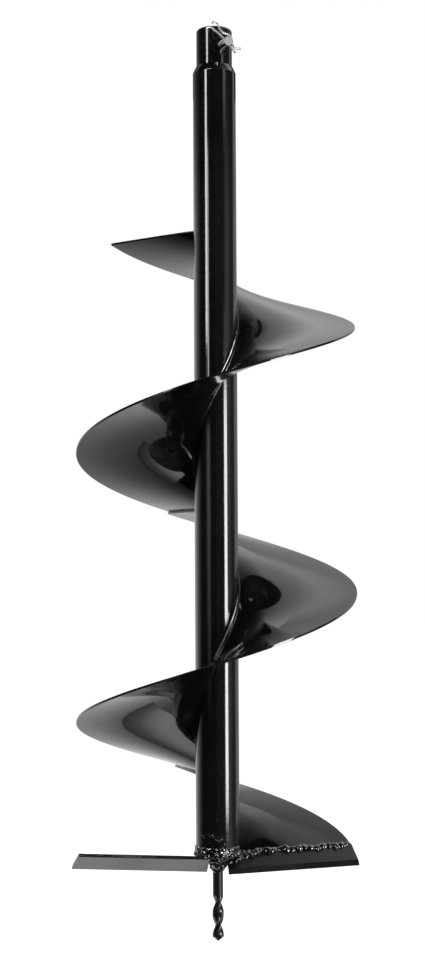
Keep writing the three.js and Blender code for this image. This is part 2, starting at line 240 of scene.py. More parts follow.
def graded(name, shader, socket, **stops):
    """A card's material, whose level is the product of a ramp in metres along each axis given."""
    material, tree, add = make_material(name)
    place = add("ShaderNodeTexCoord")
    parts = add("ShaderNodeSeparateXYZ")
    surface = add(shader)
    join_up(tree, (place.outputs["Object"], parts.inputs[0]),
            (surface.outputs[0], add("ShaderNodeOutputMaterial").inputs["Surface"]))
    level = None
    for axis, points in stops.items():
        low, high = points[0][0], points[-1][0]
        share = spread(add, low, high)
        by_axis = ramp(add, points, low, high)
        join_up(tree, (parts.outputs[axis], share.inputs["Value"]), (share.outputs[0], by_axis.inputs["Fac"]))
        if level is None:
            level = by_axis.outputs["Color"]
        else:
            product = math_node(add, "MULTIPLY")
            join_up(tree, (level, product.inputs[0]), (by_axis.outputs["Color"], product.inputs[1]))
            level = product.outputs[0]
    join_up(tree, (level, surface.inputs[socket]))
    return material


def add_card(name, corner, across, along, shader="ShaderNodeEmission", socket="Strength", **stops):
    """A flat card that only gloss sees, from one corner along its two sides, graded by its stops."""
    bpy.ops.object.select_all(action="DESELECT")
    bpy.ops.mesh.primitive_plane_add(size=1)
    card = bpy.context.object
    card.name = name
    for vertex in card.data.vertices:
        vertex.co = (Vector(corner) + Vector(across) * (vertex.co.x + 0.5)
                     + Vector(along) * (vertex.co.y + 0.5))
    card.data.materials.append(graded(name.replace("_", " "), shader, socket, **stops))
    card.visible_camera = card.visible_diffuse = card.visible_shadow = False


# A white card under the blades, a dim one low on the left, a small one for the pin's end, a bright one
# high on the left for the welds, and nets behind the lower turns and the clip that dim what they mirror.
NET = "ShaderNodeBsdfTransparent"
add_card("white_card", corner=(-0.3, -0.02, -0.9), across=(0.32, 0, 0), along=(0, 0.32, 0),
         Y=[(0.0, 1.42), (0.08, 1.3), (0.15, 0.8), (0.22, 0.3), (0.3, 0.1)])
add_card("dim_card", corner=(-1.38, -0.88, -0.78), across=(0.66, -0.58, 0), along=(0, 0, 0.6),
         Z=[(-0.78, 0.0), (-0.7, 0.08), (-0.55, 0.5), (-0.38, 0.9)],
         X=[(-1.38, 0.0), (-1.2, 0.3), (-1.05, 0.8), (-0.92, 0.6), (-0.72, 0.0)])
add_card("pin_card", corner=(1.08, -1.02, 0.28), across=(0.26, 0.28, 0), along=(0, 0, 0.36),
         Z=[(0.28, 0.3), (0.4, 1.0), (0.64, 1.1)])
add_card("bright_card", corner=(-1.0, -0.75, 0.5), across=(0.7, 0, 0), along=(0, 0, 0.7),
         Z=[(0.5, 40.0), (1.2, 40.0)])
add_card("grey_net", corner=(-0.12, 0.8, -0.7), across=(0.52, 0, 0), along=(0, 0, 1.02), shader=NET,
         socket="Color", Z=[(-0.7, 1.0), (-0.6, 0.85), (-0.48, 0.5), (-0.15, 0.45), (0.06, 0.5), (0.32, 1.0)])
add_card("clip_net", corner=(-0.06, 0.06, -0.045), across=(0.14, 0, 0), along=(0, 0, 0.11), shader=NET,
         socket="Color", Z=[(-0.045, 0.08), (0.065, 0.08)])


def add_softbox(name, side, distance, middle, width, tall, watts):
    """An upright softbox: side is its angle from the way to the camera, to the right, seen from the bit."""
    lamp = bpy.data.lights.new(name, "AREA")
    lamp.shape = "RECTANGLE"
    lamp.size, lamp.size_y, lamp.energy = width, tall, watts
    lamp_object = bpy.data.objects.new(name, lamp)
    way = Vector((sin(radians(side)), -cos(radians(side)), 0))
    lamp_object.location = way * distance + Vector((0, 0, middle))
    lamp_object.rotation_euler = way.to_track_quat("Z", "Y").to_euler()
    bpy.context.scene.collection.objects.link(lamp_object)
    lamp_object.visible_camera = False
    return lamp_object


add_softbox("left_softbox", side=-47, distance=1.5, middle=0.42, width=0.26, tall=1.0, watts=8)
add_softbox("left_reflector", side=-38, distance=1.5, middle=0.04, width=0.17, tall=0.44, watts=1.15)
add_softbox("right_softbox", side=52, distance=1.5, middle=-0.52, width=0.42, tall=0.74, watts=12)
overhead = add_softbox("overhead_softbox", side=0, distance=0.0, middle=1.3, width=1.0, tall=1.0, watts=14)
overhead.rotation_euler = (0, 0, 0)
overhead.visible_glossy = False


# ---- Shaft tube ---------------------------------------------------------------------------------------
# A cold-drawn steel tube, 38 mm outside with a 3 mm wall, cut square at both ends and painted gloss black
# after all the welding. The paint lies in a fine orange peel, with runs and a few specks of dust in it.
def gloss_black(name, wave, peel, dust, rough=0.09, ior=1.7):
    """Black paint: wave and peel are the heights in metres of its long and its short unevenness."""
    material, tree, add = make_material(name)
    place = add("ShaderNodeTexCoord")
    paint = add("ShaderNodeBsdfPrincipled", IOR=ior)
    tint = add("ShaderNodeTexNoise", Scale=38, Detail=5, Roughness=0.62)
    colour = add("ShaderNodeValToRGB")
    colour.color_ramp.elements[0].position = 0.35
    colour.color_ramp.elements[0].color = (0.0024, 0.0024, 0.0025, 1)
    colour.color_ramp.elements[1].position = 0.72
    colour.color_ramp.elements[1].color = (0.0052, 0.0052, 0.0054, 1)
    specks = add("ShaderNodeTexVoronoi", Scale=150)
    speck_mask = add("ShaderNodeMapRange", From_Min=0.0, From_Max=0.085, To_Min=dust, To_Max=0.0)
    dusty = add("ShaderNodeMix")
    dusty.data_type = "RGBA"
    dusty.inputs["B"].default_value = (0.16, 0.16, 0.16, 1)
    haze = add("ShaderNodeTexNoise", Scale=21, Detail=4)
    gloss = add("ShaderNodeMapRange", From_Min=0.3, From_Max=0.75, To_Min=rough * 0.75, To_Max=rough * 1.5)
    peel_noise = add("ShaderNodeTexNoise", Scale=230, Detail=1.5)
    wave_noise = add("ShaderNodeTexNoise", Scale=32, Detail=1)
    wave_bump = add("ShaderNodeBump", Distance=wave)
    peel_bump = add("ShaderNodeBump", Distance=peel)
    out = add("ShaderNodeOutputMaterial")
    join_up(
        tree,
        (place.outputs["Object"], tint.inputs["Vector"]),
        (place.outputs["Object"], specks.inputs["Vector"]),
        (place.outputs["Object"], haze.inputs["Vector"]),
        (place.outputs["Object"], peel_noise.inputs["Vector"]),
        (place.outputs["Object"], wave_noise.inputs["Vector"]),
        (tint.outputs["Fac"], colour.inputs["Fac"]),
        (specks.outputs["Distance"], speck_mask.inputs["Value"]),
        (speck_mask.outputs["Result"], dusty.inputs["Factor"]),
        (colour.outputs["Color"], dusty.inputs["A"]),
        (dusty.outputs["Result"], paint.inputs["Base Color"]),
        (haze.outputs["Fac"], gloss.inputs["Value"]),
        (gloss.outputs["Result"], paint.inputs["Roughness"]),
        (wave_noise.outputs["Fac"], wave_bump.inputs["Height"]),
        (peel_noise.outputs["Fac"], peel_bump.inputs["Height"]),
        (wave_bump.outputs["Normal"], peel_bump.inputs["Normal"]),
        (peel_bump.outputs["Normal"], paint.inputs["Normal"]),
        (paint.outputs[0], out.inputs["Surface"]),
    )
    return material


def hold(piece):
    """Selects the piece alone."""
    bpy.ops.object.select_all(action="DESELECT")
    piece.select_set(True)
    bpy.context.view_layer.objects.active = piece


def modify(piece, kind, **settings):
    """Adds a modifier to the piece and applies it."""
    modifier = piece.modifiers.new(kind.lower(), kind)
    for setting, value in settings.items():
        setattr(modifier, setting, value)
    hold(piece)
    bpy.ops.object.modifier_apply(modifier=modifier.name)


def deliver(piece, name, material, body, node, smooth=40, machined=True):
    """Gives the finished piece its name, shading, paint and body, in place of the CAD's node."""
    hold(piece)
    bpy.ops.object.transform_apply(location=True, rotation=True, scale=True)
    bpy.ops.object.shade_smooth_by_angle(angle=radians(smooth))
    if machined:
        modify(piece, "WEIGHTED_NORMAL", keep_sharp=True)
    piece.name = piece.data.name = name
    piece.data.materials.clear()
    piece.data.materials.append(material)
    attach(piece, body)
    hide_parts(node)


TUBE_RADIUS, TUBE_WALL = 0.019, 0.003
TUBE_TOP = -0.0393
TUBE_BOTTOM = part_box("shaft_tube")[0].z
tube_paint = gloss_black("gloss black on the tube", wave=0.00005, peel=0.000022, dust=0.5)
bpy.ops.object.select_all(action="DESELECT")
bpy.ops.mesh.primitive_cylinder_add(vertices=160, radius=TUBE_RADIUS, depth=TUBE_TOP - TUBE_BOTTOM,
                                    end_fill_type="NOTHING", location=(0, 0, (TUBE_TOP + TUBE_BOTTOM) / 2))
tube = bpy.context.object
modify(tube, "SOLIDIFY", thickness=TUBE_WALL, offset=-1)
modify(tube, "BEVEL", width=0.0005, segments=3, limit_method="ANGLE", angle_limit=radians(60))
deliver(tube, "painted_tube", tube_paint, "auger", "shaft_tube")

# ---- Drive socket -------------------------------------------------------------------------------------
# A thick bush, bored 20 mm for the machine's shaft and cross-drilled for the pin. Its upper edge is rounded
# over, and its lower half is hidden in the tube.
SOCKET_RADIUS, SOCKET_LENGTH = 0.0157, 0.08
BORE_RADIUS = 0.010
PIN_DROP, PIN_TURN, PIN_HOLE = 0.0171, radians(-63), 0.0043
pin_way = Vector((cos(PIN_TURN), sin(PIN_TURN), 0))
bpy.ops.object.select_all(action="DESELECT")
bpy.ops.mesh.primitive_cylinder_add(vertices=128, radius=SOCKET_RADIUS, depth=SOCKET_LENGTH,
                                    end_fill_type="NOTHING", location=(0, 0, -SOCKET_LENGTH / 2))
socket = bpy.context.object
bpy.ops.object.transform_apply(location=True, rotation=True, scale=True)
modify(socket, "SOLIDIFY", thickness=SOCKET_RADIUS - BORE_RADIUS, offset=-1)


def pick_nothing(piece):
    """Deselects all of the piece's vertices, edges and faces."""
    for part in (piece.data.vertices, piece.data.edges, piece.data.polygons):
        for one in part:
            one.select = False


def edge_ring(piece, radius, z):
    """Selects the ring of edges at that radius and height, in edit mode."""
    near = 1e-4
    hold(piece)
    pick_nothing(piece)
    on_ring = [abs(hypot(v.co.x, v.co.y) - radius) < near and abs(v.co.z - z) < near
               for v in piece.data.vertices]
    for edge in piece.data.edges:
        edge.select = all(on_ring[i] for i in edge.vertices)
    bpy.ops.object.mode_set(mode="EDIT")
    bpy.ops.mesh.select_mode(type="EDGE")


for ring_radius, ring_height, size in ((SOCKET_RADIUS, 0, 0.0025), (BORE_RADIUS, 0, 0.0008),
                                       (BORE_RADIUS, -SOCKET_LENGTH, 0.0006)):
    edge_ring(socket, ring_radius, ring_height)
    bpy.ops.mesh.bevel(offset=size, segments=6)
    bpy.ops.object.mode_set(mode="OBJECT")
bpy.ops.mesh.primitive_cylinder_add(vertices=64, radius=PIN_HOLE, depth=0.05, location=(0, 0, -PIN_DROP),
                                    rotation=pin_way.to_track_quat("Z", "Y").to_euler())
drill = bpy.context.object
modify(socket, "BOOLEAN", object=drill, operation="DIFFERENCE", solver="EXACT")
bpy.data.objects.remove(drill)
deliver(socket, "painted_socket", tube_paint, "auger", "drive_socket", smooth=35)


# ---- Weld round the socket ----------------------------------------------------------------------------
# One bead run round the shoulder, from the bush down to the tube's square end, dressed almost to a cone.
# Its ripples and the odd blob of spatter still show through the paint.
def painted_bead(name, ripple, ior=1.7):
    """Gloss black over weld: no dust, a deeper peel, and ripples as fine as the bead's own."""
    return gloss_black(name, wave=ripple, peel=ripple * 0.3, dust=0.0, rough=0.05, ior=ior)


def clouds(name, size, depth=2):
    """A soft procedural texture for lumps of that size."""
    texture = bpy.data.textures.new(name, "CLOUDS")
    texture.noise_scale = size
    texture.noise_depth = depth
    return texture


bead_paint = painted_bead("gloss black on weld", 0.00009)
SOCKET_WELD_RISE, SOCKET_WELD_DROP, SOCKET_WELD_SWELL = 0.0066, 0.0006, 0.014
bpy.ops.object.select_all(action="DESELECT")
bpy.ops.mesh.primitive_cone_add(vertices=144, radius1=TUBE_RADIUS + 0.0001, radius2=SOCKET_RADIUS + 0.0002,
                                depth=SOCKET_WELD_RISE, end_fill_type="NOTHING",
                                location=(0, 0, TUBE_TOP - SOCKET_WELD_DROP + SOCKET_WELD_RISE / 2))
shoulder = bpy.context.object
hold(shoulder)
bpy.ops.object.transform_apply(location=True)
bpy.ops.object.mode_set(mode="EDIT")
bpy.ops.mesh.select_all(action="SELECT")
bpy.ops.mesh.subdivide(number_cuts=4)
bpy.ops.object.mode_set(mode="OBJECT")
for vertex in shoulder.data.vertices:
    share = (vertex.co.z - TUBE_TOP) / SOCKET_WELD_RISE
    swell = 1 + SOCKET_WELD_SWELL * sin(pi * min(1, max(0, share)))
    vertex.co.x *= swell
    vertex.co.y *= swell
modify(shoulder, "DISPLACE", texture=clouds("shoulder ripple", 0.005), strength=0.0004, mid_level=0.6)
modify(shoulder, "SOLIDIFY", thickness=0.0022, offset=-1)
deliver(shoulder, "socket_weld_bead", bead_paint, "auger", "socket_weld", smooth=60,
        machined=False)

# ---- End plug -----------------------------------------------------------------------------------------
# A disc pressed into the tube's lower end, drilled for the pilot's shank. Paint only reaches its face, so
# it keeps the plain shape it was turned to.
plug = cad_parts["end_plug"]
plug.data.materials.clear()
plug.data.materials.append(gloss_black("thin black on the plug", wave=0.00004, peel=0.00003, dust=0.8,
                                       rough=0.3))

# ---- Flight -------------------------------------------------------------------------------------------
# Three discs of 2 mm plate, slit, drawn out into a right-hand screw and lapped on each other like steps:
# each starts on top of the end of the one below, which is joggled to lie close under it.
BLADE_LINE, BLADE_TURN, BLADE_THICK = -0.737, 6.9, 0.0032
TILT, RISE, SET_BACK = radians(33.5), radians(2.6), 0.0155
FLIGHT_RADIUS, SHEET_INNER = 0.1225, 0.0188
PLATE, STEP_UP = 0.002, 0.0023
TOP_PITCH, LOWER_PITCH, PITCH_CHANGE = 0.2288, 0.2325, 453
TOP_TURN, DROOP_SPAN, DROOP = 855, 43, 0.0019
LOWER_LAP, LAP_TURN, JOGGLE_FADE = 90, 12, 40
FOOT_HEIGHT, FOOT_SPAN = 0.0095, 75
FOOT_TRIM, FOOT_TRIM_FROM, FOOT_AT_RIM = 0.0024, 0.85, 6
sections = {
    "top": {"above": 2, "from": PITCH_CHANGE, "to": TOP_TURN},
    "middle": {"above": 1, "from": LOWER_LAP, "to": PITCH_CHANGE + LAP_TURN, "lap": PITCH_CHANGE + LAP_TURN},
    "bottom": {"above": 0, "to": LOWER_LAP + LAP_TURN, "lap": LOWER_LAP + LAP_TURN},
}


def fade(value, start, end):
    """Rises smoothly from 0 at the start to 1 at the end."""
    share = min(1.0, max(0.0, (value - start) / (end - start)))
    return share * share * (3 - 2 * share)


def slope(radius):
    """The screw's slope at that radius."""
    return atan(LOWER_PITCH / (2 * pi * radius))


def climb(turn):
    """Height of the plain screw at a turn, counted up from the blade under the flight."""
    return (BLADE_LINE + FOOT_HEIGHT
            + (LOWER_PITCH * min(turn, PITCH_CHANGE) + TOP_PITCH * max(turn - PITCH_CHANGE, 0)) / 360)


def foot_turn(radius):
    """Turn at which the foot's end meets the back of its blade."""
    return degrees(asin((SET_BACK * cos(TILT) + PLATE / 2 * sin(slope(FLIGHT_RADIUS))) / radius))


def sheet_height(section, radius, turn):
    """Height of the plate's middle: the screw's, with the step, joggle, droop and foot of its section."""
    height = climb(turn) + STEP_UP * section["above"]
    if "lap" in section:
        joggle = fade(turn, section["lap"] - JOGGLE_FADE, section["lap"] - LAP_TURN)
        height -= (STEP_UP / cos(slope(radius)) - STEP_UP) * joggle
    if section is sections["top"]:
        height -= DROOP * fade(turn, TOP_TURN - DROOP_SPAN, TOP_TURN)
    if section is sections["bottom"]:
        end = foot_turn(radius)
        level = (BLADE_LINE + SET_BACK * sin(TILT) + BLADE_THICK / 2 * cos(TILT)
                 + radius * cos(radians(end)) * sin(RISE))
        height += (level - climb(end)) * (1 - fade(turn, end, end + FOOT_SPAN))
    return height


def sheet_point(section, radius, turn, trim=0.0):
    """A point in the middle of the plate."""
    azimuth = radians(BLADE_TURN + turn)
    return Vector(((radius - trim) * cos(azimuth), (radius - trim) * sin(azimuth),
                   sheet_height(section, radius, turn)))


def turn_of(section, share, radius):
    """The turn at that share of the section's length."""
    start = section["from"] if "from" in section else foot_turn(radius)
    return start + (section["to"] - start) * share


def formed(x_parts, y_parts, place):
    """A grid of sheet metal, bent to place(x, y), with x and y from 0 to 1."""
    bpy.ops.object.select_all(action="DESELECT")
    bpy.ops.mesh.primitive_grid_add(x_subdivisions=x_parts, y_subdivisions=y_parts, size=1)
    piece = bpy.context.object
    for vertex in piece.data.vertices:
        vertex.co = place(vertex.co.x + 0.5, vertex.co.y + 0.5)
    return piece


flight_paint = gloss_black("gloss black on the flight", wave=0.00007, peel=0.00002, dust=0.35, rough=0.06)
thin_paint = gloss_black("thin black on the lowest turn", wave=0.00012, peel=0.00002, dust=0.4, rough=0.09,
                         ior=1.42)
SHEET_ACROSS, SHEET_STEP = 30, 1.6
for name, section in sections.items():
    turns = section["to"] - section.get("from", FOOT_AT_RIM)

    def place_sheet(x, y, section=section):
        radius = SHEET_INNER * (FLIGHT_RADIUS / SHEET_INNER) ** x
        turn = turn_of(section, y, radius)
        trim = 0.0
        if section is sections["bottom"]:
            towards_foot = 1 - fade(turn, foot_turn(FLIGHT_RADIUS), LOWER_LAP)
            trim = FOOT_TRIM * towards_foot * fade(x, FOOT_TRIM_FROM, 1)
        return sheet_point(section, radius, turn, trim)

    sheet = formed(SHEET_ACROSS, round(turns / SHEET_STEP), place_sheet)
    modify(sheet, "SOLIDIFY", thickness=PLATE, offset=0)
    hold(sheet)
    bpy.ops.object.mode_set(mode="EDIT")
    bpy.ops.mesh.select_all(action="SELECT")
    bpy.ops.mesh.normals_make_consistent(inside=False)
    bpy.ops.object.mode_set(mode="OBJECT")
    modify(sheet, "BEVEL", width=0.00025, segments=2, limit_method="ANGLE", angle_limit=radians(50))
    deliver(sheet, f"painted_flight_{name}", thin_paint if name == "bottom" else flight_paint, "auger",
            f"flight_{name}")


# ---- Root welds ---------------------------------------------------------------------------------------
# A fillet run along each face of every section where it meets the tube. The welder stops and starts, so the
# bead swells and thins, and its ripples catch the light.
def rolled(around, along, place):
    """A closed bar: place(x, y) gives its surface, x once round it and y along it."""
    bar = formed(around, along, place)
    hold(bar)
    bpy.ops.object.mode_set(mode="EDIT")
    bpy.ops.mesh.select_all(action="SELECT")
    bpy.ops.mesh.remove_doubles(threshold=0.000004)
    bpy.ops.mesh.select_all(action="DESELECT")
    bpy.ops.mesh.select_mode(type="VERT")
    bpy.ops.mesh.select_non_manifold()
    bpy.ops.mesh.fill_holes(sides=0)
    bpy.ops.mesh.select_all(action="SELECT")
    bpy.ops.mesh.normals_make_consistent(inside=False)
    bpy.ops.object.mode_set(mode="OBJECT")
    return bar


def fullness(y, times):
    """Swells from 0 at either end of a bead to 1 over its length divided by times."""
    return min(1.0, min(y, 1 - y) * times) ** 0.5


def sheet_frame(section, radius, turn):
    """Outwards, uphill and up, square to the sheet."""
    aside, step = 0.00005, 0.05
    out = sheet_point(section, radius + aside, turn) - sheet_point(section, radius - aside, turn)
    uphill = sheet_point(section, radius, turn + step) - sheet_point(section, radius, turn - step)
    out.normalize()
    uphill.normalize()
    return out, uphill, out.cross(uphill).normalized()


ROOT_LEG, ROOT_START, ROOT_SHORT = 0.002, 0.03, 14
ROOT_AROUND, ROOT_PER_DEGREE, ROOT_RIPPLE = 14, 1.5, 3.1
FOOT_AT_TUBE, FOOT_AT_BEAD = 30, 8
root_paint = gloss_black("gloss black on root weld", wave=0.00006, peel=0.00002, dust=0.0, rough=0.14)
for name, section in sections.items():
    for side, tail in ((1, ""), (-1, "_underside")):
        stop = 1 - ROOT_SHORT / (section["to"] - section.get("from", FOOT_AT_TUBE))

        def place_root(x, y, section=section, side=side, stop=stop):
            turn = turn_of(section, ROOT_START + (stop - ROOT_START) * y, TUBE_RADIUS)
            out, _, upward = sheet_frame(section, TUBE_RADIUS, turn)
            swell = 0.92 + 0.06 * sin(turn * 0.13) + 0.03 * sin(turn * 0.41 + 1)
            leg = ROOT_LEG * swell * (0.25 + 0.75 * fullness(y, 60))
            ripple = 1 + 0.012 * sin(turn * 2 * pi / ROOT_RIPPLE)
            angle = 2 * pi * x
            across = leg * ripple * cos(angle) * 0.85
            up = leg * ripple * sin(angle) * 0.85
            corner = sheet_point(section, TUBE_RADIUS, turn)
            return corner + out * (across + leg * 0.12) + upward * side * (PLATE / 2 + up + leg * 0.12)

        length = section["to"] - section.get("from", FOOT_AT_BEAD)
        bead = rolled(ROOT_AROUND, round(length * ROOT_PER_DEGREE), place_root)
        modify(bead, "DISPLACE", texture=clouds(f"root lumps {name}{tail}", 0.008), strength=0.0003,
               mid_level=0.5)
        deliver(bead, f"root_bead_{name}{tail}", root_paint, "auger",
                f"root_weld_{name}{tail}", smooth=75, machined=False)

# ---- Lap welds ----------------------------------------------------------------------------------------
# A short bead across each lap, in the step between the upper section's end and the sheet below it. It
# starts clear of the root weld and stops just inside the rim.
LAP_LEG, LAP_START, LAP_SHORT = 0.0024, 0.029, 0.0012
LAP_AROUND, LAP_ALONG = 14, 110
for name, section in (("upper", sections["top"]), ("lower", sections["middle"])):

    def place_lap(x, y, section=section):
        radius = LAP_START + (FLIGHT_RADIUS - LAP_SHORT - LAP_START) * y
        _, uphill, upward = sheet_frame(section, radius, section["from"])
        leg = LAP_LEG * (0.85 + 0.15 * sin(radius * 900)) * (0.3 + 0.7 * fullness(y, 25))
        angle = 2 * pi * x
        edge = sheet_point(section, radius, section["from"]) - upward * (PLATE / 2)
        return (edge + uphill * (leg * 0.75 * cos(angle) - leg * 0.2)
                + upward * (leg * 0.75 * sin(angle) + leg * 0.2))

    bead = rolled(LAP_AROUND, LAP_ALONG, place_lap)
    modify(bead, "DISPLACE", texture=clouds(f"lap lumps {name}", 0.004), strength=0.0008, mid_level=0.5)
    deliver(bead, f"lap_bead_{name}", bead_paint, "auger", f"lap_weld_{name}", smooth=75,
            machined=False)

# ---- Cutting blades -----------------------------------------------------------------------------------
# Two flat bars of harder steel, welded across the tube's lower end and tipped down towards the edge that
# cuts, which is ground to a bevel with a narrow land. Their outer ends are cut on a slant.
BLADE_WIDTH, BLADE_INNER, BAR_LENGTH = 0.0254, 0.0085, 0.13
BLADE_BEVEL, BLADE_LAND = 0.004, 0.0006
blade_paint = gloss_black("gloss black on the blades", wave=0.00002, peel=0.000016, dust=0.3, rough=0.28)
bpy.ops.object.select_all(action="DESELECT")
bpy.ops.mesh.primitive_cube_add(size=1, location=(BLADE_INNER + BAR_LENGTH / 2, BLADE_WIDTH / 2,
                                                  BLADE_THICK / 2))
bar = bpy.context.object
bar.scale = (BAR_LENGTH, BLADE_WIDTH, BLADE_THICK)
bpy.ops.object.transform_apply(location=True, rotation=True, scale=True)


def cut_off(piece, point, way):
    """Cuts the piece at a point and closes it, dropping what lies past the cut."""
    hold(piece)
    bpy.ops.object.mode_set(mode="EDIT")
    bpy.ops.mesh.select_all(action="SELECT")
    bpy.ops.mesh.bisect(plane_co=point, plane_no=Vector(way).normalized(), use_fill=True, clear_outer=True,
                        threshold=0.000001)
    bpy.ops.mesh.select_all(action="SELECT")
    bpy.ops.mesh.normals_make_consistent(inside=False)
    bpy.ops.object.mode_set(mode="OBJECT")


cut_off(bar, (0, BLADE_WIDTH, BLADE_LAND), (0, BLADE_THICK - BLADE_LAND, BLADE_BEVEL))
blade_out = Vector((cos(radians(BLADE_TURN)), sin(radians(BLADE_TURN)), 0))
blade_lead = Vector((blade_out.y, -blade_out.x, 0))
blade_along = blade_lead * cos(TILT) - Vector((0, 0, sin(TILT)))
blade_upward = blade_lead * sin(TILT) + Vector((0, 0, cos(TILT)))
blade_reach = blade_out * cos(RISE) + Vector((0, 0, sin(RISE)))
blade_seat = Matrix((blade_reach, blade_along, blade_upward)).transposed().to_4x4()
blade_seat.translation = Vector((0, 0, BLADE_LINE)) - blade_along * SET_BACK
for name, reach, slant, turned in (("blade_under_flight", 0.1235, 0.0034, 0),
                                   ("blade_opposite", 0.1264, 0.0054, pi)):
    blade = bar.copy()
    blade.data = bar.data.copy()
    bpy.context.scene.collection.objects.link(blade)
    cut_off(blade, (reach, BLADE_WIDTH, 0), (BLADE_WIDTH, -slant, 0))
    modify(blade, "BEVEL", width=0.0003, segments=3, limit_method="ANGLE", angle_limit=radians(20))
    blade.data.transform(Matrix.Rotation(turned, 4, "Z") @ blade_seat)
    deliver(blade, f"painted_{name}", blade_paint, "auger", name, smooth=60)
bpy.data.objects.remove(bar)


# ---- Weld between the foot and its blade --------------------------------------------------------------
# A heavy bead laid in short runs along the blade's back edge, over the flight's foot. It is the roughest
# weld on the bit, all crests and hollows.
def blade_point(reach, across, up):
    """A point on the blade under the flight: out along it, across it from its back edge, and up."""
    return blade_seat @ Vector((reach, across, up))


BEAD_START, BEAD_END, BEAD_LINE = 0.031, 0.1185, 0.0022
BEAD_HALF_WIDTH, BEAD_HEIGHT = 0.0038, 0.0026
BEAD_AROUND, BEAD_ALONG = 26, 260


def place_bead(x, y):
    reach = BEAD_START + (BEAD_END - BEAD_START) * y
    wander = 0.0007 * sin(reach * 310) + 0.0004 * sin(reach * 770 + 2)
    swell = 0.9 + 0.16 * sin(reach * 420 + 1) + 0.12 * sin(reach * 1150)
    size = swell * (0.25 + 0.75 * fullness(y, 14))
    angle = 2 * pi * x
    return blade_point(reach, BEAD_LINE + wander + BEAD_HALF_WIDTH * size * cos(angle),
                       BLADE_THICK + BEAD_HEIGHT * size * sin(angle))


rough_bead_paint = painted_bead("gloss black on rough weld", 0.00006, ior=2.1)
bead = rolled(BEAD_AROUND, BEAD_ALONG, place_bead)
modify(bead, "DISPLACE", texture=clouds("bead crests", 0.007), strength=0.0026, mid_level=0.45)
modify(bead, "SMOOTH", factor=0.5, iterations=4)
deliver(bead, "blade_weld_bead", rough_bead_paint, "auger", "blade_weld", smooth=80,
        machined=False)


# ---- Hub weld -----------------------------------------------------------------------------------------
# The tube's lower end is tacked and filled to the two blades with many short blobs of weld, one over
# another, with beads of spatter thrown up the tube.
def lump(points, name, voxel, strength):
    """Blobs of weld at (place, radius), run into one closed body."""
    bpy.ops.object.select_all(action="DESELECT")
    blobs = []
    for centre, radius in points:
        bpy.ops.mesh.primitive_ico_sphere_add(subdivisions=3, radius=radius, location=centre)
        blobs.append(bpy.context.object)
    for blob in blobs:
        blob.select_set(True)
    bpy.context.view_layer.objects.active = blobs[0]
    bpy.ops.object.join()
    body = bpy.context.object
    bpy.ops.object.transform_apply(location=True, rotation=True, scale=True)
    modify(body, "REMESH", mode="VOXEL", voxel_size=voxel)
    modify(body, "SMOOTH", factor=0.5, iterations=2)
    modify(body, "DISPLACE", texture=clouds(name, CREST_SIZE, 3), strength=strength, mid_level=0.5)
    return body


dice = random.Random(7)
HUB_START, HUB_END, HUB_SET_IN, HUB_DROP = 82, 345, 0.0011, 0.0006
HUB_BLOBS, HUB_LAYERS, LAYER_RISE = 110, 3, 0.0024
BACK_BLOBS, BACK_START, BACK_REACH = 120, 0.0095, 0.034
SPATTER_BEADS = 26
CREST_SIZE = 0.004
blobs = []
for i in range(HUB_BLOBS):
    turn = HUB_START + (HUB_END - HUB_START) * i / (HUB_BLOBS - 1)
    azimuth = radians(BLADE_TURN + turn + dice.uniform(-2, 2))
    for layer in range(HUB_LAYERS):
        out_by = TUBE_RADIUS - HUB_SET_IN + (0.0012 - 0.0006 * layer) * dice.uniform(-0.8, 1)
        up_by = TUBE_BOTTOM - HUB_DROP + LAYER_RISE * layer + dice.uniform(-0.001, 0.0014)
        blobs.append(((out_by * cos(azimuth), out_by * sin(azimuth), up_by), dice.uniform(0.0013, 0.0024)))
for i in range(BACK_BLOBS):
    share = i / (BACK_BLOBS - 1)
    reach = BACK_START + BACK_REACH * share
    blobs.append((blade_point(reach, dice.uniform(-0.001, 0.017) * (1 - share ** 0.8) + 0.002,
                              BLADE_THICK + dice.uniform(-0.0006, 0.0014)), dice.uniform(0.0012, 0.0024)))
for i in range(SPATTER_BEADS):
    azimuth = radians(dice.uniform(-150, -60))
    up_by = TUBE_BOTTOM + dice.uniform(0.004, 0.018)
    blobs.append(((TUBE_RADIUS * cos(azimuth), TUBE_RADIUS * sin(azimuth), up_by),
                  dice.uniform(0.0007, 0.0011)))
hub = lump(blobs, "hub crests", voxel=0.0005, strength=0.0012)
deliver(hub, "hub_weld_blobs", rough_bead_paint, "auger", "hub_weld", smooth=80,
        machined=False)

# ---- Weld collar round the pilot ----------------------------------------------------------------------
# Weld built up in rounds between the blades' inner ends, about the pilot's shank. Each round is a little
# wider than the one below.
COLLAR_BLOBS, BLOBS_A_ROUND = 120, 30
COLLAR_RADIUS, COLLAR_FLARE = 0.0042, 0.001
COLLAR_DROP, ROUND_RISE = 0.0012, 0.0028
blobs = []
for i in range(COLLAR_BLOBS):
    azimuth = 2 * pi * i / BLOBS_A_ROUND + dice.uniform(-0.1, 0.1)
    layer = i // BLOBS_A_ROUND
    up_by = BLADE_LINE - COLLAR_DROP + ROUND_RISE * layer + dice.uniform(-0.001, 0.001)
    out_by = COLLAR_RADIUS + COLLAR_FLARE * layer + dice.uniform(-0.0008, 0.0008)
    blobs.append(((out_by * cos(azimuth), out_by * sin(azimuth), up_by), dice.uniform(0.0014, 0.0023)))
collar = lump(blobs, "collar crests", voxel=0.00055, strength=0.0011)
deliver(collar, "pilot_weld_blobs", rough_bead_paint, "auger", "pilot_weld", smooth=80,
        machined=False)

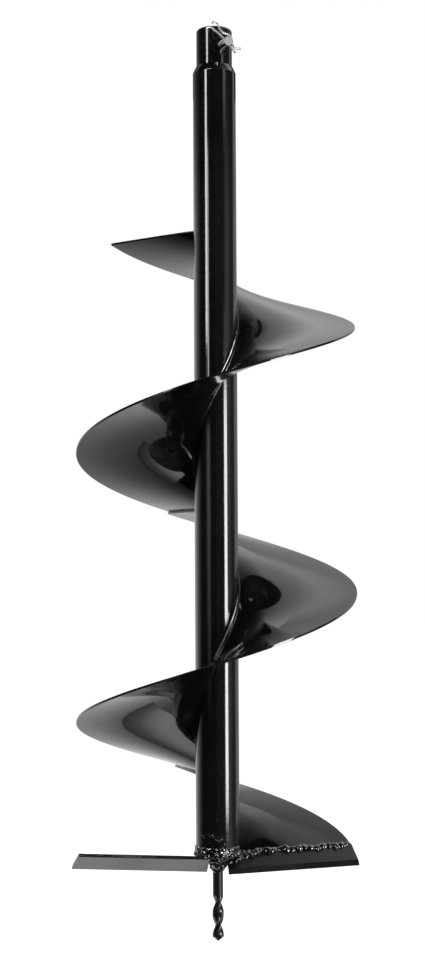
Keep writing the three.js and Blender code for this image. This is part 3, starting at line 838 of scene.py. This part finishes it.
# ---- Pilot bit ----------------------------------------------------------------------------------------
# A 9 mm round bar let into the plug. Its lower end is forged flat, twisted while hot and cut to a point,
# so that it centres the bit and starts the hole.
SHANK, PILOT_WIDE, PILOT_THIN = 0.009, 0.0098, 0.0052
TWIST_LENGTH, TURN_IN, HALF_TURN = 0.036, 0.004, 0.0195
POINT, POINT_LENGTH, POINT_CAP = -0.8, 0.004, 0.001
PILOT_TOP = TUBE_BOTTOM + 0.018
PILOT_AROUND, PILOT_ALONG, FINER_TO_POINT = 48, 190, 1.4


def place_pilot(x, y):
    length = PILOT_TOP - POINT
    height = POINT_CAP + (length - POINT_CAP) * y ** FINER_TO_POINT if y > 0 else 0.0
    round_share = fade(height, TWIST_LENGTH, TWIST_LENGTH + TURN_IN)
    wide = PILOT_WIDE / 2 + (SHANK - PILOT_WIDE) / 2 * round_share
    thin = PILOT_THIN / 2 + (SHANK - PILOT_THIN) / 2 * round_share
    angle = 2 * pi * x
    power = 0.62 + 0.38 * round_share  # below 1, the strip's corners are square
    edge_x = abs(cos(angle)) ** power * (1 if cos(angle) > 0 else -1)
    edge_y = abs(sin(angle)) ** power * (1 if sin(angle) > 0 else -1)
    point = min(1.0, height / POINT_LENGTH)
    twist = pi * (height - POINT_LENGTH) / HALF_TURN
    across = edge_x * wide * point
    through = edge_y * thin * (0.25 + 0.75 * point if y > 0 else 0)
    return Vector((across * cos(twist) - through * sin(twist), across * sin(twist) + through * cos(twist),
                   POINT + height))


pilot = rolled(PILOT_AROUND, PILOT_ALONG, place_pilot)
deliver(pilot, "painted_pilot_bit", blade_paint, "auger", "pilot_bit", smooth=50,
        machined=False)


# ---- Drive pin ----------------------------------------------------------------------------------------
# An 8 mm clevis pin turned from bright bar, with a flat head behind the socket, a chamfered end, and a
# cross hole for the clip. It is zinc plated, which dulls to a fine grey grain.
def plated(name, colour, rough, grain, bare=1.0):
    """Plating of that colour: grain is the scale of its unevenness, and bare is how metallic it shines."""
    material, tree, add = make_material(name)
    place = add("ShaderNodeTexCoord")
    metal = add("ShaderNodeBsdfPrincipled", Metallic=bare)
    noise = add("ShaderNodeTexNoise", Scale=grain, Detail=4, Roughness=0.6)
    tint = add("ShaderNodeValToRGB")
    tint.color_ramp.elements[0].position = 0.3
    tint.color_ramp.elements[0].color = (*[c * 0.82 for c in colour], 1)
    tint.color_ramp.elements[1].position = 0.7
    tint.color_ramp.elements[1].color = (*colour, 1)
    gloss = add("ShaderNodeMapRange", To_Min=rough * 0.75, To_Max=rough * 1.3)
    bump = add("ShaderNodeBump", Distance=0.00001)
    out = add("ShaderNodeOutputMaterial")
    join_up(
        tree,
        (place.outputs["Object"], noise.inputs["Vector"]),
        (noise.outputs["Fac"], tint.inputs["Fac"]),
        (noise.outputs["Fac"], gloss.inputs["Value"]),
        (noise.outputs["Fac"], bump.inputs["Height"]),
        (tint.outputs["Color"], metal.inputs["Base Color"]),
        (gloss.outputs["Result"], metal.inputs["Roughness"]),
        (bump.outputs["Normal"], metal.inputs["Normal"]),
        (metal.outputs[0], out.inputs["Surface"]),
    )
    return material


PIN_RADIUS, PIN_END = 0.004, 0.0274
HEAD_FACE, HEAD_RADIUS, HEAD_THICK = -0.0160, 0.00625, 0.0026
CLIP_PLANE, CLIP_SLOPE, CLIP_HOLE = 0.0236, radians(-42.4), 0.00115
pin_seat = Matrix.Translation((0, 0, -PIN_DROP)) @ Matrix.Rotation(PIN_TURN, 4, "Z")
bpy.ops.object.select_all(action="DESELECT")
bpy.ops.mesh.primitive_cylinder_add(vertices=64, radius=PIN_RADIUS, depth=PIN_END - HEAD_FACE,
                                    location=((PIN_END + HEAD_FACE) / 2, 0, 0), rotation=(0, pi / 2, 0))
pin = bpy.context.object
bpy.ops.object.transform_apply(location=True, rotation=True, scale=True)
pick_nothing(pin)
for face in pin.data.polygons:
    face.select = face.normal.x < -0.9
bpy.ops.object.mode_set(mode="EDIT")
bpy.ops.mesh.select_mode(type="FACE")
bpy.ops.mesh.extrude_region_move(TRANSFORM_OT_translate={"value": (0, 0, 0)})
bpy.ops.transform.resize(value=(1, HEAD_RADIUS / PIN_RADIUS, HEAD_RADIUS / PIN_RADIUS))
bpy.ops.mesh.extrude_region_move(TRANSFORM_OT_translate={"value": (-HEAD_THICK, 0, 0)})
bpy.ops.object.mode_set(mode="OBJECT")
along_leg = Vector((0, cos(CLIP_SLOPE), sin(CLIP_SLOPE)))
over_leg = Vector((0, -sin(CLIP_SLOPE), cos(CLIP_SLOPE)))
bpy.ops.mesh.primitive_cylinder_add(vertices=32, radius=CLIP_HOLE, depth=0.02, location=(CLIP_PLANE, 0, 0),
                                    rotation=along_leg.to_track_quat("Z", "Y").to_euler())
drill = bpy.context.object
modify(pin, "BOOLEAN", object=drill, operation="DIFFERENCE", solver="EXACT")
bpy.data.objects.remove(drill)
modify(pin, "BEVEL", width=0.0005, segments=3, limit_method="ANGLE", angle_limit=radians(60))
pin.data.transform(pin_seat)
pin_plating = plated("dull zinc", (0.66, 0.66, 0.67), rough=0.24, grain=420)
deliver(pin, "plated_drive_pin", pin_plating, "pin", "drive_pin", smooth=35)

# ---- R-clip -------------------------------------------------------------------------------------------
# A 1.8 mm spring wire, bent cold round a mandrel: a straight leg through the pin, a round eye to pull it
# by, and a waved leg that springs over the pin. It is plated bright.
WIRE, MILLIMETRE = 0.0018, 0.001
EYE_REACH, EYE_DROP, EYE_RADIUS = -17.1, 1.9, 3.5  # in millimetres, like the bends
eye = [(EYE_REACH + EYE_RADIUS * cos(radians(a)), EYE_DROP + EYE_RADIUS * sin(radians(a)))
       for a in (-75, -115, -155, -195, -235, -275, -315)]
bends = [(12.4, 0), (6.2, 0), (0, 0), (-7.7, 0), (-11.3, -0.3), *eye, (-13, 3.9), (-9.6, 3.2), (-6.2, 4.7),
         (-3.2, 6.3), (-0.2, 6.6), (2.6, 5.6), (4.9, 3.5), (7.2, 2.6), (9.6, 3.2), (13.4, 7)]
route = bpy.data.curves.new("r_clip_wire", "CURVE")
route.dimensions = "3D"
spline = route.splines.new("BEZIER")
spline.bezier_points.add(len(bends) - 1)
for point, (along, over) in zip(spline.bezier_points, bends):
    point.co = Vector((CLIP_PLANE, 0, 0)) + along_leg * along * MILLIMETRE + over_leg * over * MILLIMETRE
    point.handle_left_type = point.handle_right_type = "AUTO"
route.resolution_u = 10
route.bevel_depth = WIRE / 2
route.bevel_resolution = 5
route.use_fill_caps = True
clip_curve = bpy.data.objects.new("clip_curve", route)
bpy.context.scene.collection.objects.link(clip_curve)
hold(clip_curve)
bpy.ops.object.convert(target="MESH")
clip = bpy.context.object
clip.data.transform(pin_seat)
wire_plating = plated("bright wire", (0.6, 0.6, 0.61), rough=0.26, grain=300, bare=0.55)
deliver(clip, "plated_r_clip", wire_plating, "clip", "r_clip", machined=False)
